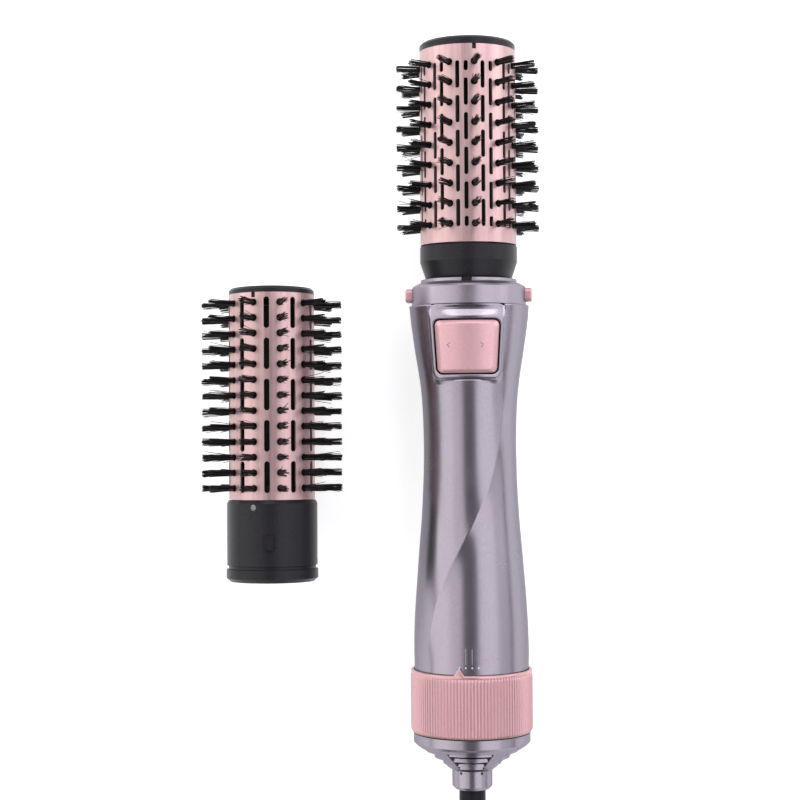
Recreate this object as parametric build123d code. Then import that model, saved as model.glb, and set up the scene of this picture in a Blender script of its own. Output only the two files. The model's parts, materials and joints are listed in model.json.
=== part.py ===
"""Rotating hot air brush with one head fitted and a second, slimmer head lying beside it.

Each piece is modelled upright on the brush's own axis: Z runs from the swivel neck (0) to the
tip, the rocker faces -Y, and +X is to the right of someone facing the rocker. The pieces are
then laid down as they rest on a table: +Y from the cord to the tip, +Z up, on the floor z = 0.
"""

from build123d import *
import os
from math import atan2, cos, degrees, pi, radians, sin, tan

os.makedirs("parts", exist_ok=True)

# ---- driving dimensions, in millimetres and degrees ----
BARREL_R = 20.0            # fitted head: outside of the barrel, bristle tips, rows of tufts
TIP_R = 30.0
ROWS = 12
ROW_TURN = 6.0             # angle of the first row from the front
SPARE_BARREL_R = 17.8
SPARE_TIP_R = 29.4
SPARE_ROWS = 10
SPARE_ROW_TURN = 15.4
SPARE_GAP = 82.4           # between the two axes
SPARE_TIP_BACK = 101.6     # how far the spare's tip lies behind the fitted head's tip

NECK_R, NECK_TOP = 8.35, 8.0
CONE_R, CONE_FOOT_R, CONE_FOOT, CONE_TOP = 24.3, 8.9, 8.1, 19.3
COVER_TOP = 23.5           # rear cover meets the grip shells
RING_R, RING_BORE_R, RING_FOOT, RING_TOP, RIBS = 25.4, 22.9, 23.8, 49.2, 114
SLEEVE_R = 22.6            # grip shells inside the ring
# Outside of the grip above the ring, as (radius, height).
GRIP = [(23.75, 49.5), (23.75, 64.0), (22.1, 90.4), (19.9, 119.0),
        (19.25, 141.0), (20.3, 166.0), (23.0, 184.0), (24.9, 200.0)]
WALL = 2.0
COLLAR_R, COLLAR_FOOT, COLLAR_EDGE, COLLAR_TOP = 23.8, 200.2, 208.2, 211.0
SOCKET_R = 19.2            # bore of the collar, where a head goes in
HEAD_FOOT = 192.0          # end of the fitted head's spigot
SPIGOT_R, SPIGOT_LIP_R, SPIGOT_BORE_R = 18.75, 19.05, 16.2
HANDLE_TURN = -4.7         # how the grip lies, turned about its axis

ROCKER_FOOT, ROCKER_TOP = 172.6, 194.2
ROCKER_FOOT_W, ROCKER_TOP_W = 24.2, 26.2
ROCKER_FOOT_Y, ROCKER_TOP_Y = 22.1, 24.0   # how far its face stands out from the axis
CROWN_R = 34.0             # crown of the rocker and its bezel, across the grip
ROCKER_GAP = 0.35
BEZEL_FOOT, BEZEL_TOP = 169.6, 199.9
BEZEL_FOOT_W, BEZEL_TOP_W = 27.6, 31.4
PIVOT_Y = -20.65           # rocker's tilt axis
BUTTON_Z, BUTTON_H, BUTTON_W = 204.6, 5.6, 8.0

CORD_R = 3.3
RELIEF_END = -43.0
COIL_COLUMNS = (28.9, 35.5, 42.1, 48.7)
COIL_SLACK = 0.4           # the turns don't lie quite tight
COIL_BACK = 104.0          # from the strain relief's end to the coil's centre
PLUG_H, PLUG_W, PLUG_L = 27.0, 35.0, 40.0
PIN_R, PIN_L, PIN_PITCH = 2.4, 19.0, 19.0


# ---- small helpers ----
def turned(points, arc=360.0):
    """Solid of revolution about Z from a closed outline of (radius, height) points."""
    outline = Polyline(*[(r, 0, z) for r, z in points], close=True)
    return revolve(make_face(outline), Axis.Z, arc)


def tube(outer, inner, foot, top):
    return turned([(inner, foot), (outer, foot), (outer, top), (inner, top)])


def rod(radius, foot, top, x=0.0, y=0.0):
    return Pos(x, y, (foot + top) / 2) * Cylinder(radius, top - foot)


def block(x0, x1, y0, y1, z0, z1):
    return Pos((x0 + x1) / 2, (y0 + y1) / 2, (z0 + z1) / 2) * Box(x1 - x0, y1 - y0, z1 - z0)


def round_z(angle):
    """Turn about the brush's axis: 0 is the front, positive towards +X."""
    return Rot(0, 0, angle)


# ---- grip ----
def grip_edge(inset):
    return Spline(*[(r - inset, 0, z) for r, z in GRIP])


def grip_body(inset):
    """Everything inside the grip's outline, moved inwards by inset."""
    top, foot = GRIP[-1], GRIP[0]
    return revolve(make_face([
        grip_edge(inset),
        Line((top[0] - inset, 0, top[1]), (0, 0, top[1])),
        Line((0, 0, top[1]), (0, 0, foot[1])),
        Line((0, 0, foot[1]), (foot[0] - inset, 0, foot[1])),
    ]), Axis.Z)


def trapezoid(foot_w, top_w, foot, top, corner, inner_y, outer_y):
    """Upright prism with rounded corners, standing out of the front of the grip."""
    half_foot, half_top = foot_w / 2, top_w / 2
    outline = Polyline((-half_foot, foot), (half_foot, foot), (half_top, top), (-half_top, top), close=True)
    face = fillet(make_face(outline).vertices(), corner)
    return Plane.XZ.offset(-inner_y) * extrude(face, inner_y - outer_y)


def crown(drop):
    """Body whose front is the rocker's crowned face, lowered by drop."""
    lean = (ROCKER_TOP_Y - ROCKER_FOOT_Y) / (ROCKER_TOP - ROCKER_FOOT)
    low, high = BEZEL_FOOT - 10, BEZEL_TOP + 10
    centre = CROWN_R - ROCKER_TOP_Y
    r_low = CROWN_R - (ROCKER_TOP - low) * lean - drop
    r_high = CROWN_R + (high - ROCKER_TOP) * lean - drop
    return Pos(0, centre, (low + high) / 2) * Cone(r_low, r_high, high - low)


def bezel_blank():
    return trapezoid(BEZEL_FOOT_W, BEZEL_TOP_W, BEZEL_FOOT, BEZEL_TOP, 2.5, -15.4, -30)


def half_shell(front):
    """One half of the grip, split on the plane of the axis."""
    bore_foot, bore_top = GRIP[0], GRIP[-1]
    ring_step = [
        Line((bore_top[0], 0, bore_top[1]), (bore_top[0] - WALL, 0, bore_top[1])),
        Line((bore_foot[0] - WALL, 0, bore_foot[1] + 3), (SLEEVE_R - WALL, 0, bore_foot[1])),
        Line((SLEEVE_R - WALL, 0, bore_foot[1]), (SLEEVE_R - WALL, 0, COVER_TOP)),
        Line((SLEEVE_R - WALL, 0, COVER_TOP), (SLEEVE_R, 0, COVER_TOP)),
        Line((SLEEVE_R, 0, COVER_TOP), (SLEEVE_R, 0, bore_foot[1])),
        Line((SLEEVE_R, 0, bore_foot[1]), (bore_foot[0], 0, bore_foot[1])),
    ]
    inside = Spline(*[(r - WALL, 0, z) for r, z in [(bore_foot[0], bore_foot[1] + 3)] + GRIP[1:]])
    shell = revolve(make_face([grip_edge(0), inside] + ring_step), Axis.Z, 180)
    shell = round_z(180) * shell if front else shell
    if front:
        shell -= bezel_blank()
        return shell
    lug_slot = block(-9.6, 2.1, SLEEVE_R - WALL - 4, SLEEVE_R + 1, 33.6, 38.4)
    shell -= lug_slot
    for z in (72.0, 188.0):
        shell -= Pos(0, 26, z) * Rot(90, 0, 0) * Cylinder(1.6, 14)
        shell -= Pos(0, 26, z) * Rot(90, 0, 0) * Cylinder(3.1, 9.4)
    return shell


def case_screws():
    """Two screws through the back shell into the chassis."""
    screws = []
    for z, seat in ((72.0, 21.3), (188.0, 21.3)):
        head = Pos(0, seat - 1.0, z) * Rot(90, 0, 0) * Cylinder(2.7, 1.6)
        cross = Pos(0, seat, z) * (Box(3.0, 1.2, 0.7) + Box(0.7, 1.2, 3.0))
        shank = Pos(0, seat - 3.6, z) * Rot(90, 0, 0) * Cylinder(1.45, 3.6)
        screws.append(head + shank - cross)
    return Compound(children=screws)


def switch_bezel():
    frame = bezel_blank() & crown(0.35)
    frame = chamfer(frame.faces().sort_by(Axis.Y)[0].outer_wire().edges(), 1.3)
    clear = ROCKER_GAP * 2
    frame -= trapezoid(ROCKER_FOOT_W + clear, ROCKER_TOP_W + clear, ROCKER_FOOT - ROCKER_GAP,
                       ROCKER_TOP + ROCKER_GAP, 2.3, -10, -30)
    frame -= grip_body(WALL + 1.6) & block(-20, 20, -20.1, 0, BEZEL_FOOT - 1, BEZEL_TOP + 1)
    frame -= [block(-8.4, 8.4, -17.9, -10, 160, 191), rod(19.5, 191.0, 201), rod(21.2, 197.0, 201)]
    frame -= rod(1.05, ROCKER_FOOT - 2.0, ROCKER_TOP + 2.2, y=PIVOT_Y)
    return max(frame.solids(), key=lambda solid: solid.volume)


def rocker_button():
    cap = trapezoid(ROCKER_FOOT_W, ROCKER_TOP_W, ROCKER_FOOT, ROCKER_TOP, 2.0, -18.6, -30) & crown(0)
    cap = chamfer(cap.faces().sort_by(Axis.Y)[0].outer_wire().edges(), 0.7)
    cap -= rod(20.4, 190.2, 196.0)
    return cap + rod(0.95, ROCKER_FOOT - 1.7, ROCKER_TOP + 1.9, y=PIVOT_Y)


def top_collar():
    """Ring above the grip: socket for the head, keyway, and pockets for the two buttons."""
    collar = turned([
        (SOCKET_R, COLLAR_FOOT), (COLLAR_R, COLLAR_FOOT), (COLLAR_R, COLLAR_EDGE - 0.8),
        (COLLAR_R - 0.5, COLLAR_EDGE), (21.2, COLLAR_EDGE + 1.1), (SOCKET_R + 0.75, COLLAR_EDGE + 1.5),
        (SOCKET_R + 0.75, COLLAR_TOP - 0.2), (SOCKET_R + 0.55, COLLAR_TOP), (SOCKET_R, COLLAR_TOP),
    ])
    collar -= block(-2.1, 2.1, -20.4, -18.0, 203.5, COLLAR_TOP + 1)
    half_w, half_h = BUTTON_W / 2 + 0.35, BUTTON_H / 2 + 0.35
    for side in (-1, 1):
        window = Pos(side * 22, 0, BUTTON_Z) * Box(8, half_w * 2, half_h * 2)
        pocket = Pos(side * 20.6, 0, (COLLAR_FOOT - 1 + BUTTON_Z + half_h) / 2) * Box(
            3.4, half_w * 2, BUTTON_Z + half_h - COLLAR_FOOT + 1)
        collar -= [window, pocket]
    return collar


def release_button(side):
    """Button that squeezes the latch ring; side is -1 for left and 1 for right."""
    head = Pos(23.6, 0, BUTTON_Z) * Box(5.4, BUTTON_W, BUTTON_H)
    head = fillet(head.edges().filter_by(Axis.X), 1.6)
    head = fillet(head.faces().sort_by(Axis.X)[-1].edges(), 0.7)
    stem = block(20.9, 21.7, -3.2, 3.2, 196.8, BUTTON_Z + 1)
    piece = head + stem
    return piece if side > 0 else Rot(0, 0, 180) * piece


def latch_ring():
    """Springy oval ring: squeezing it left and right pulls its two teeth out of the head's groove."""
    ring = tube(20.6, 20.0, 197.6, 198.4)
    for turn in (0, 180):
        ring += Rot(0, 0, turn) * block(-3.5, 3.5, -20.3, -18.45, 197.6, 198.4)
    return ring


def selector_ring():
    """Ribbed ring that selects heat and speed, with its pointer and the lug that works the switch."""
    step = 2 * pi / (2 * RIBS)
    points = [((RING_R - 0.4 * (i % 2)) * cos(i * step), (RING_R - 0.4 * (i % 2)) * sin(i * step))
              for i in range(2 * RIBS)]
    ribbed = extrude(make_face(Polyline(*points, close=True)), RING_TOP - RING_FOOT - 3.0)
    ring = Pos(0, 0, RING_FOOT + 1.5) * ribbed
    ring += turned([(0, RING_FOOT), (24.6, RING_FOOT), (RING_R - 0.2, RING_FOOT + 1.5), (0, RING_FOOT + 1.5)])
    ring += turned([(0, RING_TOP - 1.5), (RING_R - 0.2, RING_TOP - 1.5), (RING_R - 0.2, RING_TOP - 0.6),
                    (RING_R - 0.8, RING_TOP), (0, RING_TOP)])
    ring -= rod(RING_BORE_R, RING_FOOT - 1, RING_TOP + 1)
    corners = [(-2.3, RING_TOP - 0.6), (2.3, RING_TOP - 0.6), (0, RING_TOP + 2.7)]
    arrow = make_face(Polyline(*corners, close=True))
    arrow = Plane.XZ.offset(24.1) * extrude(arrow, 1.0)
    ring += round_z(-9.45) * arrow
    lug = block(-1.5, 1.5, 19.4, 23.4, 34, 38)
    return ring + lug


def rear_cover():
    """Cone behind the ring, open at five windows that draw air in."""
    cover = turned([
        (CONE_FOOT_R, CONE_FOOT), (CONE_R - 0.9, CONE_TOP - 0.6), (CONE_R, CONE_TOP + 0.5), (CONE_R, COVER_TOP),
        (20.4, COVER_TOP), (20.4, COVER_TOP + 4), (18.6, COVER_TOP + 4), (18.6, CONE_TOP + 1.4),
        (CONE_FOOT_R - 0.6, CONE_TOP - 7.6), (CONE_FOOT_R - 0.6, CONE_FOOT),
    ])
    window = [(11.2, 8.4), (21.3, 15.9), (21.3, 18.6), (10.6, 18.6), (10.6, 8.4)]
    for k in range(5):
        cover -= round_z(72 * k - 90 - 27) * turned(window, 54)
    for r, z, h in ((19.5, 16.0, 1.7), (15.7, 13.2, 1.5), (12.1, 10.6, 1.3)):
        cover += tube(r, r - 2.0, z, z + h)
    return cover


def inlet_filter():
    """Mesh disc that keeps fluff out of the motor."""
    return tube(18.4, 8.6, 21.4, 22.2)


def swivel_neck():
    """Socket at the end of the rear cover in which the cord turns."""
    neck = turned([
        (6.0, 0), (NECK_R - 1.1, 0), (NECK_R, 1.2), (NECK_R, NECK_TOP), (8.2, NECK_TOP), (8.2, 14.0),
        (6.6, 14.0), (6.6, 3.2), (6.0, 3.2),
    ])
    return neck


def swivel_core():
    """Flanged plug on the cord that the neck holds, with room to turn."""
    return turned([(0, 0.2), (5.9, 0.2), (5.9, 3.5), (6.5, 3.5), (6.5, 6.5), (0, 6.5)])


def strain_relief():
    """Tapered sleeve with bend grooves, from the swivel to the bare cord."""
    top, foot = 0.2, RELIEF_END
    points = [(0, top), (5.5, top), (5.5, -9.0)]
    grooves = 6
    for k in range(grooves):
        z = -11.0 - k * 5.0
        r = 5.5 - (5.5 - 4.4) * (-z - 9.0) / (-foot - 9.0)
        points += [(r, z), (r - 0.9, z - 0.4), (r - 0.9, z - 1.6), (r, z - 2.0)]
    points += [(4.4, foot), (0, foot)]
    return turned(points)


# ---- inside the handle ----
def motor_mount():
    """Duct round the impeller with a spider that holds the fan motor."""
    mount = tube(20.3, 18.6, 42.0, 60.0) + tube(13.6, 12.1, 57.0, 66.0)
    for k in range(4):
        mount += Rot(0, 0, 90 * k + 45) * block(13.0, 19.0, -1.0, 1.0, 57.0, 60.0)
    return mount


def fan_motor():
    can = rod(12.0, 54.5, 84.0) + rod(4.0, 84.0, 86.0)
    return fillet(can.edges().filter_by(GeomType.CIRCLE).sort_by(Axis.Z)[0:1], 1.2) - rod(1.15, 54.0, 60.0)


def fan_impeller():
    """Axial impeller and its shaft."""
    hub = tube(6.5, 1.05, 46.0, 53.6)
    fan = hub + rod(1.05, 46.0, 59.5)
    for k in range(9):
        blade = Pos(0, 0, 49.8) * Rot(0, 0, 40 * k) * Pos(11.7, 0, 0) * Rot(38, 0, 0) * Box(11.0, 1.0, 8.0)
        fan += blade
    return fan & rod(17.9, 40, 62)


def gear_motor():
    return rod(7.8, 96.0, 118.0) + rod(3.0, 93.5, 96.0)


def gearbox():
    return fillet(rod(8.4, 118.0, 134.0).edges().filter_by(GeomType.CIRCLE).sort_by(Axis.Z)[0:1], 1.0) + rod(
        5.0, 134.0, 136.0) - rod(2.45, 128.0, 137.0)


def chassis():
    """Inner frame that carries the gear motor and takes the case screws."""
    frame = tube(10.4, 8.5, 112.0, 130.0) + tube(10.4, 7.9, 98.0, 104.0)
    for k in range(3):
        turn = Rot(0, 0, 120 * k + 90)
        frame += turn * block(9.6, 17.0, -1.1, 1.1, 98.0, 130.0)
        frame += turn * block(8.6, 10.4, -2.5, 2.5, 103.0, 113.0)
    return frame


def drive_spindle():
    """Shaft from the gearbox to the head's hub; its upper end is six-sided."""
    hexagon = Pos(0, 0, 206.0) * extrude(RegularPolygon(2.5, 6, major_radius=False), 23.5)
    return rod(2.4, 130.0, 206.0) + chamfer(hexagon.faces().sort_by(Axis.Z)[-1].edges(), 0.5)


def heat_shield():
    """Tube round the heater, with a spider and bush that steady the spindle."""
    shield = tube(15.0, 14.5, 140.0, 190.0) + tube(4.2, 2.5, 186.0, 190.0)
    for k in range(3):
        shield += Rot(0, 0, 120 * k + 30) * block(3.8, 14.7, -0.7, 0.7, 187.0, 190.0)
    return shield


def heater_boards():
    """Crossed mica boards that carry the heating wire, open along the middle for the spindle."""
    boards = None
    for k in range(3):
        board = Rot(0, 0, 60 * k) * block(-12.6, 12.6, -0.35, 0.35, 143.0, 184.0)
        boards = board if boards is None else boards + board
    return boards + rod(4.4, 143.0, 184.0) - rod(3.4, 142.0, 185.0)


def heater_wire():
    return Compound(children=[Pos(0, 0, 146.5 + 2.7 * k) * Torus(13.3, 0.45) for k in range(14)])


def thermal_cutout():
    disc = Pos(0, 16.0, 160.0) * Rot(90, 0, 0) * Cylinder(3.6, 1.5)
    return disc + block(-5.2, 5.2, 15.4, 16.0, 158.8, 161.2)


def control_board():
    """Circuit board under the rocker."""
    board = block(-7.4, 7.4, -16.3, -15.2, 163.0, 190.0)
    parts = [block(-6.0, -1.0, -17.3, -16.3, 175.0, 179.0), block(1.5, 5.5, -17.0, -16.3, 175.0, 179.0),
             block(-3.0, 3.0, -17.1, -16.3, 184.0, 188.0)]
    for piece in parts:
        board += piece
    return board


def rocker_switches():
    pair = []
    for x in (-5.4, 5.4):
        body = block(x - 1.9, x + 1.9, -17.5, -16.3, 181.0, 185.0)
        pair.append(body + Pos(x, -17.55, 183.0) * Rot(90, 0, 0) * Cylinder(0.9, 0.3))
    return Compound(children=pair)


def selector_switch():
    """Slide switch worked by the ring's lug."""
    body = block(-9.0, 4.0, 13.8, 17.6, 30.6, 41.4)
    return body + block(-1.3, 1.3, 17.6, 19.0, 34.4, 37.6)


# ---- heads ----
def head_base(barrel_r, joint, foot, cone):
    """Socket piece that stays still while the barrel turns; joint is where the barrel starts."""
    neck = barrel_r - 5.5
    shoulder = [(17.7, joint - 15.6), (17.7, joint - 14.4), (20.2, joint - 6.9), (20.2, joint - 0.7),
                (19.7, joint - 0.15)] if cone else [(SPIGOT_R, joint - 1.4), (SPIGOT_R - 0.7, joint - 0.15)]
    base = turned([
        (17.4, foot), (SPIGOT_LIP_R, foot + 1.5), (SPIGOT_LIP_R, foot + 5.2),
        (18.1, foot + 5.4), (18.1, foot + 6.6), (SPIGOT_R, foot + 6.8),
        (SPIGOT_R, joint - 16.8 if cone else joint - 8),
    ] + shoulder + [
        (neck, joint - 0.15), (neck, joint + 3.1), (neck - 1.5, joint + 3.1), (neck - 1.5, joint - 3.0),
        (SPIGOT_BORE_R, joint - 9.0), (SPIGOT_BORE_R, foot),
    ])
    key_top = joint - 14.2
    return base + block(-1.8, 1.8, -19.9, -16.6, key_top - 6.0, key_top)


def base_screw(outer_r):
    """Small screw in the side of the spare head's base, out to the given radius."""
    shank = Rot(90, 0, 0) * Cylinder(1.25, outer_r - 16.7)
    screw = Pos(0, -(outer_r + 16.7) / 2, SPARE["joint"] - 2.9) * shank
    return round_z(-20.5) * screw


def head_bearing(barrel_r, joint):
    return tube(barrel_r - 4.1, barrel_r - 5.45, joint + 0.1, joint + 2.9)


def drive_hub(barrel_r, joint):
    """Spider that takes the spindle's turn out to the barrel."""
    outer = barrel_r - 0.85
    hub = tube(outer, barrel_r - 4.0, joint + 0.3, joint + 3.2)
    hub += tube(barrel_r - 3.1, barrel_r - 5.0, joint + 3.2, joint + 5.8)
    hub += rod(5.0, joint - 3.2, joint + 5.8)
    for k in range(3):
        hub += Rot(0, 0, 120 * k) * block(4.4, barrel_r - 4.2, -1.5, 1.5, joint + 3.4, joint + 5.8)
    socket = extrude(RegularPolygon(2.6, 6, major_radius=False), 12)
    return hub - Pos(0, 0, joint - 4) * socket


def barrel_tube(barrel_r, joint, length, rows, row_turn, tufts, columns, notches):
    """Pierced metal tube. columns holds (turn from a row, slot width, [(foot, slot length), ...])."""
    shell = tube(barrel_r, barrel_r - 0.8, joint + 0.15, joint + length)
    cuts = []
    for k in range(rows):
        turn = row_turn + 360 / rows * k
        for z in tufts:
            hole = Pos(0, -barrel_r, joint + z) * Rot(90, 0, 0) * Cylinder(1.5, 4)
            cuts.append(round_z(turn) * hole)
        for offset, width, slots in columns:
            for foot, slot in slots:
                face = SlotOverall(slot, width)
                cutter = Plane.XZ.offset(barrel_r - 2) * Rot(0, 0, 90) * extrude(face, 4)
                cuts.append(round_z(turn + offset) * Pos(0, 0, joint + foot + slot / 2) * cutter)
    for k in notches:
        notch = block(-0.8, 0.8, -barrel_r - 1, -barrel_r + 2, joint + length - 2.2, joint + length + 1)
        cuts.append(round_z(row_turn + 360 / rows * k) * notch)
    return shell - cuts


def tip_cap(barrel_r, foot, height):
    """Cool tip that closes the barrel."""
    cap = turned([
        (0, foot + 1.6), (barrel_r - 2.6, foot + 1.6), (barrel_r - 2.6, foot - 2.6), (barrel_r - 0.85, foot - 2.6),
        (barrel_r - 0.85, foot), (barrel_r, foot), (barrel_r, foot + height - 1.0), (barrel_r - 1.0, foot + height),
        (barrel_r * 0.72, foot + height + 0.5), (0, foot + height + 0.8),
    ])
    return cap - (tube(barrel_r * 0.60, barrel_r * 0.56, foot + height - 0.2, foot + height + 2))


def bristle_strip(barrel_r, tip_r, joint, foot, top, tufts, turn):
    """Bar inside the barrel and the tufts that stand out of it through the holes."""
    face_r = barrel_r - 1.1
    strip = block(-2.5, 2.5, -face_r, -face_r + 1.9, joint + foot, joint + top)
    solids = [strip]
    for z in tufts:
        length = tip_r - face_r
        tuft = Pos(0, -face_r - length / 2, joint + z) * Rot(90, 0, 0) * Cone(1.1, 1.45, length)
        solids.append(tuft)
    return [round_z(turn) * solid for solid in solids]


MAIN = dict(joint=225.2, length=80.8, tufts=[7.6 + 8.25 * k for k in range(9)])
LONG, SHORT, PITCH = 11.2, 4.2, 14.1
MAIN_COLUMNS = [
    (10.0, 1.7, [(6.3 + PITCH * k, LONG) for k in range(5)]),
    (20.0, 1.7, [(6.3, SHORT)] + [(13.35 + PITCH * k, LONG) for k in range(4)] + [(69.7, SHORT)]),
]
SPARE = dict(joint=36.6, length=85.0, tufts=[4.9 + 6.33 * k for k in range(13)])
SPARE_COLUMNS = [(18.0, 2.3, [(3.0 + 16.8 * k, 12.9) for k in range(5)])]


# ---- cord and plug, laid out on the table ----
def coil_solid():
    """Outer shape of the wound cord: two layers."""
    outer, inner = COIL_COLUMNS[-1] + CORD_R + COIL_SLACK, COIL_COLUMNS[0] - CORD_R
    return tube(outer, inner, 0, 4 * CORD_R + COIL_SLACK)


def plug_body():
    """Moulded two-pin plug lying on its side, its pins towards +Y from the origin."""
    face = Plane.XZ * SlotOverall(PLUG_W, PLUG_H)
    front = extrude(face, PLUG_L * 0.45)
    back_plane = Plane.XZ.offset(PLUG_L)
    grip = loft([Plane.XZ.offset(PLUG_L * 0.45) * SlotOverall(PLUG_W - 5, PLUG_H - 5),
                 back_plane * SlotOverall(15, 12)])
    tail = Pos(0, -PLUG_L - PLUG_TAIL / 2, 0) * Rot(90, 0, 0) * Cone(5.2, 4.2, PLUG_TAIL)
    return front + grip + tail


def plug_pins():
    pin = Rot(90, 0, 0) * Cylinder(PIN_R, PIN_L)
    return Compound(children=[Pos(x, PIN_L / 2, 0) * pin for x in (-PIN_PITCH / 2, PIN_PITCH / 2)])


def fillet_radii(route):
    """Radius of the arc at each inner point: 0.45 of the shorter run over the tangent of half the turn."""
    radii = []
    for a, b, c in zip(route, route[1:], route[2:]):
        before, after = Vector(*b) - Vector(*a), Vector(*c) - Vector(*b)
        half_turn = radians(before.get_angle(after)) / 2
        radii.append(0.45 * min(before.length, after.length) / tan(half_turn))
    return radii


def cord_tube(route):
    radii = fillet_radii(route)
    path = FilletPolyline(*route, radius=radii)
    start = Plane(origin=path @ 0, z_dir=path % 0)
    return sweep(start * Circle(CORD_R), path=path), path.length, radii


# ---- laying the pieces down ----
tuft_edge = 1.45 * sin(radians(ROW_TURN)) + TIP_R * cos(radians(ROW_TURN))
first_tuft = MAIN["joint"] + MAIN["tufts"][0] - 1.45
LEAN = degrees(atan2(tuft_edge - RING_R, first_tuft - RING_FOOT))
LIFT = (RING_R * cos(radians(LEAN)) - RING_FOOT * sin(radians(LEAN)))
SPARE_LIFT = SPARE_TIP_R * cos(radians(SPARE_ROW_TURN)) + 1.45 * sin(radians(SPARE_ROW_TURN))

tip_y = 154.8              # places the whole so that its footprint is centred on the origin
AXIS_X = 40.9
main_top = MAIN["joint"] + MAIN["length"] + 3.5
MAIN_Y = tip_y - main_top * cos(radians(LEAN))
SPARE_X = AXIS_X - SPARE_GAP
spare_top = SPARE["joint"] + SPARE["length"] + 2.6
SPARE_Y = tip_y - SPARE_TIP_BACK - spare_top

LAY = Pos(AXIS_X, MAIN_Y, LIFT) * Rot(-90 + LEAN, 0, 0)
LAY_SPARE = Pos(SPARE_X, SPARE_Y, SPARE_LIFT) * Rot(-90, 0, 0)
GRIP_TURN = Rot(0, 0, HANDLE_TURN)


def on_axis(z):
    """Point of the brush's axis at height z, on the table."""
    place = (LAY * Pos(0, 0, z)).position
    return (place.X, place.Y, place.Z)


RELIEF_AT = on_axis(RELIEF_END)
COIL_AT = (AXIS_X - COIL_COLUMNS[-1], RELIEF_AT[1] - COIL_BACK, 0.0)
# Route of the cord, as steps from the strain relief's end: right, back, height above the table.
LEAD = [(0.0, 0.0, RELIEF_AT[2]), (0.1, -14.0, 22.9), (0.5, -29.0, 18.4), (1.2, -44.5, 11.2),
        (1.4, -60.0, 5.5), (0.9, -76.0, 3.7), (0.3, -92.0, 3.6), (-0.2, -109.0, 3.6)]
LEAD_ROUTE = [(RELIEF_AT[0] + x, RELIEF_AT[1] + y, z) for x, y, z in LEAD]
# Route from the top turn of the coil to the plug, as steps from the coil's centre.
TAIL = [(0.0, -48.7, 9.9), (-15.0, -49.3, 10.0), (-30.0, -50.7, 10.8), (-44.0, -51.6, 12.6), (-57.0, -51.7, 13.5)]
TAIL_ROUTE = [(COIL_AT[0] + x, COIL_AT[1] + y, z) for x, y, z in TAIL]
PLUG_TAIL = 14.0
PLUG_AT = Pos(TAIL_ROUTE[-1][0] - PLUG_L - PLUG_TAIL, TAIL_ROUTE[-1][1], PLUG_H / 2) * Rot(0, 0, 90)


def save(name, solids, place=Pos(0, 0, 0)):
    """Write one node; a list of solids stays a group of separate solids."""
    if not isinstance(solids, (list, tuple)):
        solids = solids.solids()
    placed = Compound(children=[place * solid for solid in solids])
    export_step(placed, f"parts/{name}.step")


def save_handle():
    pieces = {
        "front_shell": half_shell(True), "rear_shell": half_shell(False), "top_collar": top_collar(),
        "rear_cover": rear_cover(), "inlet_filter": inlet_filter(), "swivel_neck": swivel_neck(),
        "switch_bezel": switch_bezel(), "case_screws": case_screws(), "latch_ring": latch_ring(),
        "motor_mount": motor_mount(), "fan_motor": fan_motor(), "chassis": chassis(),
        "gear_motor": gear_motor(), "gearbox": gearbox(), "heat_shield": heat_shield(),
        "heater_boards": heater_boards(), "heater_wire": heater_wire(), "thermal_cutout": thermal_cutout(),
        "control_board": control_board(), "rocker_switches": rocker_switches(),
        "selector_switch": selector_switch(), "rocker_button": rocker_button(),
        "release_button_left": release_button(-1), "release_button_right": release_button(1),
        "selector_ring": selector_ring(), "fan_impeller": fan_impeller(), "drive_spindle": drive_spindle(),
    }
    for name, piece in pieces.items():
        save(name, piece, LAY * GRIP_TURN)


def save_head(prefix, barrel_r, tip_r, rows, row_turn, sizes, columns, foot, cone, place, base_turn, cap_h):
    joint, length, tufts = sizes["joint"], sizes["length"], sizes["tufts"]
    base = head_base(barrel_r, joint, foot, cone)
    if not cone:
        base -= base_screw(SPIGOT_R + 1)
        save(prefix + "base_screw", base_screw(SPIGOT_R - 0.2), place)
    save(prefix + "head_base", base, place * base_turn)
    save(prefix + "head_bearing", head_bearing(barrel_r, joint), place)
    save(prefix + "drive_hub", drive_hub(barrel_r, joint), place * base_turn)
    notches = (0, rows // 3, 2 * rows // 3) if cone else (rows - 1, rows // 2 - 1)
    barrel = barrel_tube(barrel_r, joint, length, rows, row_turn, tufts, columns, notches)
    save(prefix + "barrel_tube", barrel, place)
    save(prefix + "tip_cap", tip_cap(barrel_r, joint + length, cap_h), place)
    strips = [bristle_strip(barrel_r, tip_r, joint, 3.4, length - 2.9, tufts, row_turn + 360 / rows * k)
              for k in range(rows)]
    if cone:
        for k, strip in enumerate(strips):
            save(f"bristle_strip_{k + 1:02d}", strip, place)
    else:
        save(prefix + "bristle_strips", [solid for strip in strips for solid in strip], place)


def save_cord():
    for name, piece in (("swivel_core", swivel_core()), ("strain_relief", strain_relief())):
        save(name, piece, LAY)
    lead, lead_length, lead_radii = cord_tube(LEAD_ROUTE)
    tail, tail_length, tail_radii = cord_tube(TAIL_ROUTE)
    coil, plug = Pos(*COIL_AT) * coil_solid(), PLUG_AT * plug_body()
    free_lead = (lead - LAY * strain_relief() - coil).solids().sort_by(SortBy.VOLUME)[-1]
    free_tail = (tail - plug - coil).solids().sort_by(SortBy.VOLUME)[-1]
    save("cord", [free_lead, free_tail])
    section = pi * CORD_R ** 2
    for label, piece, length, radii in (("lead", lead, lead_length, lead_radii),
                                        ("tail", tail, tail_length, tail_radii)):
        print(label, "length", round(length, 1), "volume share", round(piece.volume / (section * length), 4),
              "radii", [round(r, 1) for r in radii])
    save("cord_coil", coil)
    save("plug_body", plug)
    save("plug_pins", plug_pins(), PLUG_AT)


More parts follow.
